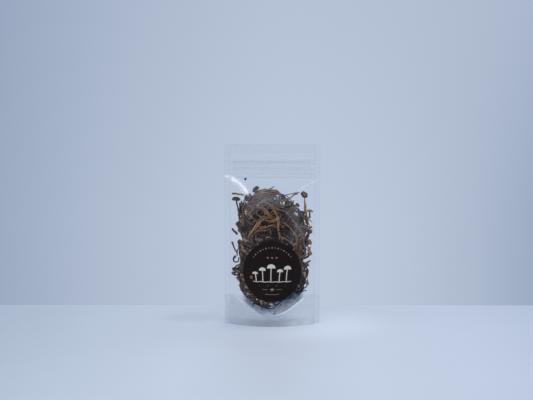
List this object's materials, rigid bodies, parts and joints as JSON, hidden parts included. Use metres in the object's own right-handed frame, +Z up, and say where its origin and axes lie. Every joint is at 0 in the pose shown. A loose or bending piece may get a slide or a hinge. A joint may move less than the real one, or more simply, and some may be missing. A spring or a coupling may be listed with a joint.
{
  "type": "pouch of dried enoki mushrooms",
  "caption": "Clear stand-up pouch with a press-to-close zip and a round dark label, packed with thin dried brown enoki mushrooms.",
  "frame": {"origin": "middle of the footprint, on the surface that the pouch stands on", "axes": "+Z up along the pouch's height, -Y towards the label's side, +X to the right as the label is read"},
  "size_m": [0.105, 0.0374, 0.2],
  "materials": {
    "clear_film": "clear, glossy",
    "zip_strip": "milky, glossy",
    "label_paper": "dark brown-black, semi-matt",
    "dried_mushroom": "dry, wrinkled, brown"
  },
  "bodies": {
    "root": {"front_film": "clear_film", "back_film": "clear_film", "bottom_gusset_film": "clear_film", "zip_socket_track": "zip_strip", "zip_rib_track": "zip_strip", "round_label": "label_paper", "enoki_bunch": "dried_mushroom", "loose_mushroom_right": "dried_mushroom", "loose_mushroom_left": "dried_mushroom", "loose_stem_upper_left": "dried_mushroom", "loose_cap_right": "dried_mushroom", "loose_stub_left": "dried_mushroom", "loose_stem_left": "dried_mushroom", "loose_curl_left": "dried_mushroom", "crumb": "dried_mushroom"}
  },
  "joints": []
}
